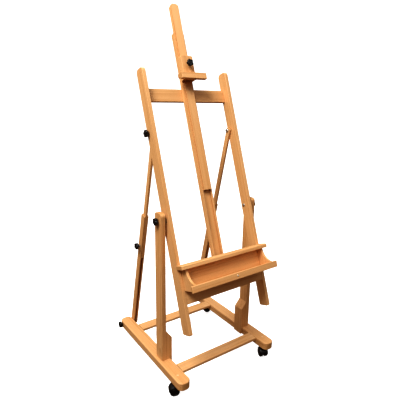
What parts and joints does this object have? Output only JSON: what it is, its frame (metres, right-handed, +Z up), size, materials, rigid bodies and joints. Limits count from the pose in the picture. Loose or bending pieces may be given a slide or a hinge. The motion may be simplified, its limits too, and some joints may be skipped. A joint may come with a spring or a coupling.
{
  "type": "h frame easel",
  "caption": "Wooden H-frame studio easel on swivel casters, with a tilting frame on telescoping struts, a sliding mast with a canvas clamp, and a sliding tray.",
  "frame": {"origin": "on the floor under the middle of the easel's bounding box, in its rest pose with the frame leaning back", "axes": "+X to the right as seen from the front, +Y to the back, +Z up"},
  "size_m": [0.6735, 0.7222, 1.9007],
  "materials": {
    "beech": "oiled beech, satin, lightly worn on the edges",
    "plug_wood": "end-grain wooden plug",
    "knob_plastic": "moulded black, glossy",
    "spacer_plastic": "moulded black, matt",
    "caster_plastic": "moulded black, satin",
    "caster_tread": "black tread",
    "zinc_steel": "zinc-plated steel"
  },
  "bodies": {
    "base": {"base_rail_left": "beech", "base_rail_right": "beech", "base_crossbars": "beech", "posts": "beech", "foot_blocks": "beech", "caster_stems": "zinc_steel", "rail_plugs": "plug_wood", "strut_foot_bolts": "zinc_steel"},
    "tilting_frame": {"frame_rail_left": "beech", "frame_rail_right": "beech", "frame_crossbar_upper": "beech", "frame_crossbar_lower": "beech", "centre_post_board": "beech", "mast_guides": "beech", "tilt_bolts": "zinc_steel", "pivot_spacers": "spacer_plastic", "strut_top_bolts": "zinc_steel"},
    "mast": {"mast": "beech"},
    "mast_knob": {"mast_knob": "knob_plastic"},
    "canvas_clamp": {"clamp_block": "beech", "clamp_cheeks": "beech", "clamp_bar": "beech"},
    "clamp_knob": {"clamp_knob": "knob_plastic"},
    "tray": {"canvas_ledge": "beech", "tray_back": "beech", "tray_floor": "beech", "tray_lip": "beech", "tray_lip_screw": "zinc_steel", "tray_ends": "beech", "tray_guides": "beech", "tray_plate": "beech"},
    "tray_knob": {"tray_knob": "knob_plastic"},
    "strut_channel_left": {"strut_cheeks_left": "beech", "strut_spine_left": "beech"},
    "strut_bar_left": {"strut_bar_left": "beech", "strut_top_nut_left": "zinc_steel"},
    "strut_lock_knob_left": {"strut_lock_knob_left": "knob_plastic"},
    "tilt_knob_left": {"tilt_knob_left": "knob_plastic"},
    "strut_top_knob_left": {"strut_top_knob_left": "knob_plastic"},
    "strut_foot_knob_left": {"strut_foot_knob_left": "knob_plastic"},
    "strut_channel_right": {"strut_cheeks_right": "beech", "strut_spine_right": "beech"},
    "strut_bar_right": {"strut_bar_right": "beech", "strut_top_nut_right": "zinc_steel"},
    "strut_lock_knob_right": {"strut_lock_knob_right": "knob_plastic"},
    "tilt_knob_right": {"tilt_knob_right": "knob_plastic"},
    "strut_top_knob_right": {"strut_top_knob_right": "knob_plastic"},
    "strut_foot_knob_right": {"strut_foot_knob_right": "knob_plastic"},
    "caster_swivel_front_left": {"caster_hood_front_left": "caster_plastic"},
    "caster_wheel_front_left": {"caster_wheels_front_left": "caster_tread", "caster_axle_front_left": "zinc_steel"},
    "caster_swivel_front_right": {"caster_hood_front_right": "caster_plastic"},
    "caster_wheel_front_right": {"caster_wheels_front_right": "caster_tread", "caster_axle_front_right": "zinc_steel"},
    "caster_swivel_rear_left": {"caster_hood_rear_left": "caster_plastic"},
    "caster_wheel_rear_left": {"caster_wheels_rear_left": "caster_tread", "caster_axle_rear_left": "zinc_steel"},
    "caster_swivel_rear_right": {"caster_hood_rear_right": "caster_plastic"},
    "caster_wheel_rear_right": {"caster_wheels_rear_right": "caster_tread", "caster_axle_rear_right": "zinc_steel"}
  },
  "joints": [
    {"name": "frame_tilt", "type": "hinge", "parent": "base", "child": "tilting_frame", "pos_m": [0, -0.102, 0.859], "axis": [-1, 0, 0], "range_deg": [-19.6, 40.4]},
    {"name": "strut_swing_left", "type": "hinge", "parent": "base", "child": "strut_channel_left", "pos_m": [-0.2355, 0.326, 0.086], "axis": [-1, 0, 0], "range_deg": [-5.6, 11.3]},
    {"name": "strut_slide_left", "type": "slide", "parent": "strut_channel_left", "child": "strut_bar_left", "axis": [0, -0.2332, 0.9724], "range_m": [-0.2, 0.1]},
    {"name": "strut_lock_turn_left", "type": "hinge", "parent": "strut_channel_left", "child": "strut_lock_knob_left", "pos_m": [-0.2355, 0.19174, 0.62968], "axis": [-1, 0, 0], "range_deg": [0, 360]},
    {"name": "tilt_knob_turn_left", "type": "hinge", "parent": "tilting_frame", "child": "tilt_knob_left", "pos_m": [-0.306, -0.102, 0.859], "axis": [-1, 0, 0], "range_deg": [0, 360]},
    {"name": "strut_foot_knob_turn_left", "type": "hinge", "parent": "base", "child": "strut_foot_knob_left", "pos_m": [-0.325, 0.326, 0.086], "axis": [-1, 0, 0], "range_deg": [0, 360]},
    {"name": "strut_top_knob_turn_left", "type": "hinge", "parent": "tilting_frame", "child": "strut_top_knob_left", "pos_m": [-0.27, 0.04467, 1.25897], "axis": [-1, 0, 0], "range_deg": [0, 360]},
    {"name": "strut_swing_right", "type": "hinge", "parent": "base", "child": "strut_channel_right", "pos_m": [0.2355, 0.326, 0.086], "axis": [-1, 0, 0], "range_deg": [-5.6, 11.3]},
    {"name": "strut_slide_right", "type": "slide", "parent": "strut_channel_right", "child": "strut_bar_right", "axis": [0, -0.2332, 0.9724], "range_m": [-0.2, 0.1]},
    {"name": "strut_lock_turn_right", "type": "hinge", "parent": "strut_channel_right", "child": "strut_lock_knob_right", "pos_m": [0.2355, 0.19174, 0.62968], "axis": [1, 0, 0], "range_deg": [0, 360]},
    {"name": "tilt_knob_turn_right", "type": "hinge", "parent": "tilting_frame", "child": "tilt_knob_right", "pos_m": [0.306, -0.102, 0.859], "axis": [1, 0, 0], "range_deg": [0, 360]},
    {"name": "strut_foot_knob_turn_right", "type": "hinge", "parent": "base", "child": "strut_foot_knob_right", "pos_m": [0.325, 0.326, 0.086], "axis": [1, 0, 0], "range_deg": [0, 360]},
    {"name": "strut_top_knob_turn_right", "type": "hinge", "parent": "tilting_frame", "child": "strut_top_knob_right", "pos_m": [0.27, 0.04467, 1.25897], "axis": [1, 0, 0], "range_deg": [0, 360]},
    {"name": "mast_slide", "type": "slide", "parent": "tilting_frame", "child": "mast", "axis": [0, 0.3355, 0.9421], "range_m": [-0.15, 0.6]},
    {"name": "mast_knob_turn", "type": "hinge", "parent": "tilting_frame", "child": "mast_knob", "pos_m": [0, 0.20126, 1.69575], "axis": [0, 0.9421, -0.3355], "range_deg": [0, 360]},
    {"name": "clamp_slide", "type": "slide", "parent": "mast", "child": "canvas_clamp", "axis": [0, 0.3355, 0.9421], "range_m": [-0.35, 0.26]},
    {"name": "clamp_knob_turn", "type": "hinge", "parent": "canvas_clamp", "child": "clamp_knob", "pos_m": [0, 0.08767, 1.60033], "axis": [0, -0.9421, 0.3355], "range_deg": [0, 360]},
    {"name": "tray_slide", "type": "slide", "parent": "tilting_frame", "child": "tray", "axis": [0, 0.3355, 0.9421], "range_m": [-0.04, 0.3]},
    {"name": "tray_knob_turn", "type": "hinge", "parent": "tray", "child": "tray_knob", "pos_m": [0, -0.1776, 0.60197], "axis": [0, 0.9421, -0.3355], "range_deg": [0, 360]},
    {"name": "caster_swivel_front_left", "type": "hinge", "parent": "base", "child": "caster_swivel_front_left", "pos_m": [-0.282, -0.268, 0.06], "axis": [0, 0, 1], "continuous": true},
    {"name": "caster_spin_front_left", "type": "hinge", "parent": "caster_swivel_front_left", "child": "caster_wheel_front_left", "pos_m": [-0.3021, -0.25905, 0.025], "axis": [0.4067, 0.9135, 0], "continuous": true},
    {"name": "caster_swivel_front_right", "type": "hinge", "parent": "base", "child": "caster_swivel_front_right", "pos_m": [0.282, -0.268, 0.06], "axis": [0, 0, 1], "continuous": true},
    {"name": "caster_spin_front_right", "type": "hinge", "parent": "caster_swivel_front_right", "child": "caster_wheel_front_right", "pos_m": [0.27376, -0.2884, 0.025], "axis": [-0.9272, 0.3746, 0], "continuous": true},
    {"name": "caster_swivel_rear_left", "type": "hinge", "parent": "base", "child": "caster_swivel_rear_left", "pos_m": [-0.282, 0.295, 0.06], "axis": [0, 0, 1], "continuous": true},
    {"name": "caster_spin_rear_left", "type": "hinge", "parent": "caster_swivel_rear_left", "child": "caster_wheel_rear_left", "pos_m": [-0.26, 0.295, 0.025], "axis": [0, -1, 0], "continuous": true},
    {"name": "caster_swivel_rear_right", "type": "hinge", "parent": "base", "child": "caster_swivel_rear_right", "pos_m": [0.282, 0.295, 0.06], "axis": [0, 0, 1], "continuous": true},
    {"name": "caster_spin_rear_right", "type": "hinge", "parent": "caster_swivel_rear_right", "child": "caster_wheel_rear_right", "pos_m": [0.29462, 0.27698, 0.025], "axis": [-0.8192, -0.5736, 0], "continuous": true}
  ],
  "couplings": [
    {"joint": "strut_swing_left", "follows": "frame_tilt", "ratio": 0.2747},
    {"joint": "strut_slide_left", "follows": "frame_tilt", "m_per_rad": -0.27609},
    {"joint": "strut_swing_right", "follows": "frame_tilt", "ratio": 0.2747},
    {"joint": "strut_slide_right", "follows": "frame_tilt", "m_per_rad": -0.27609}
  ]
}
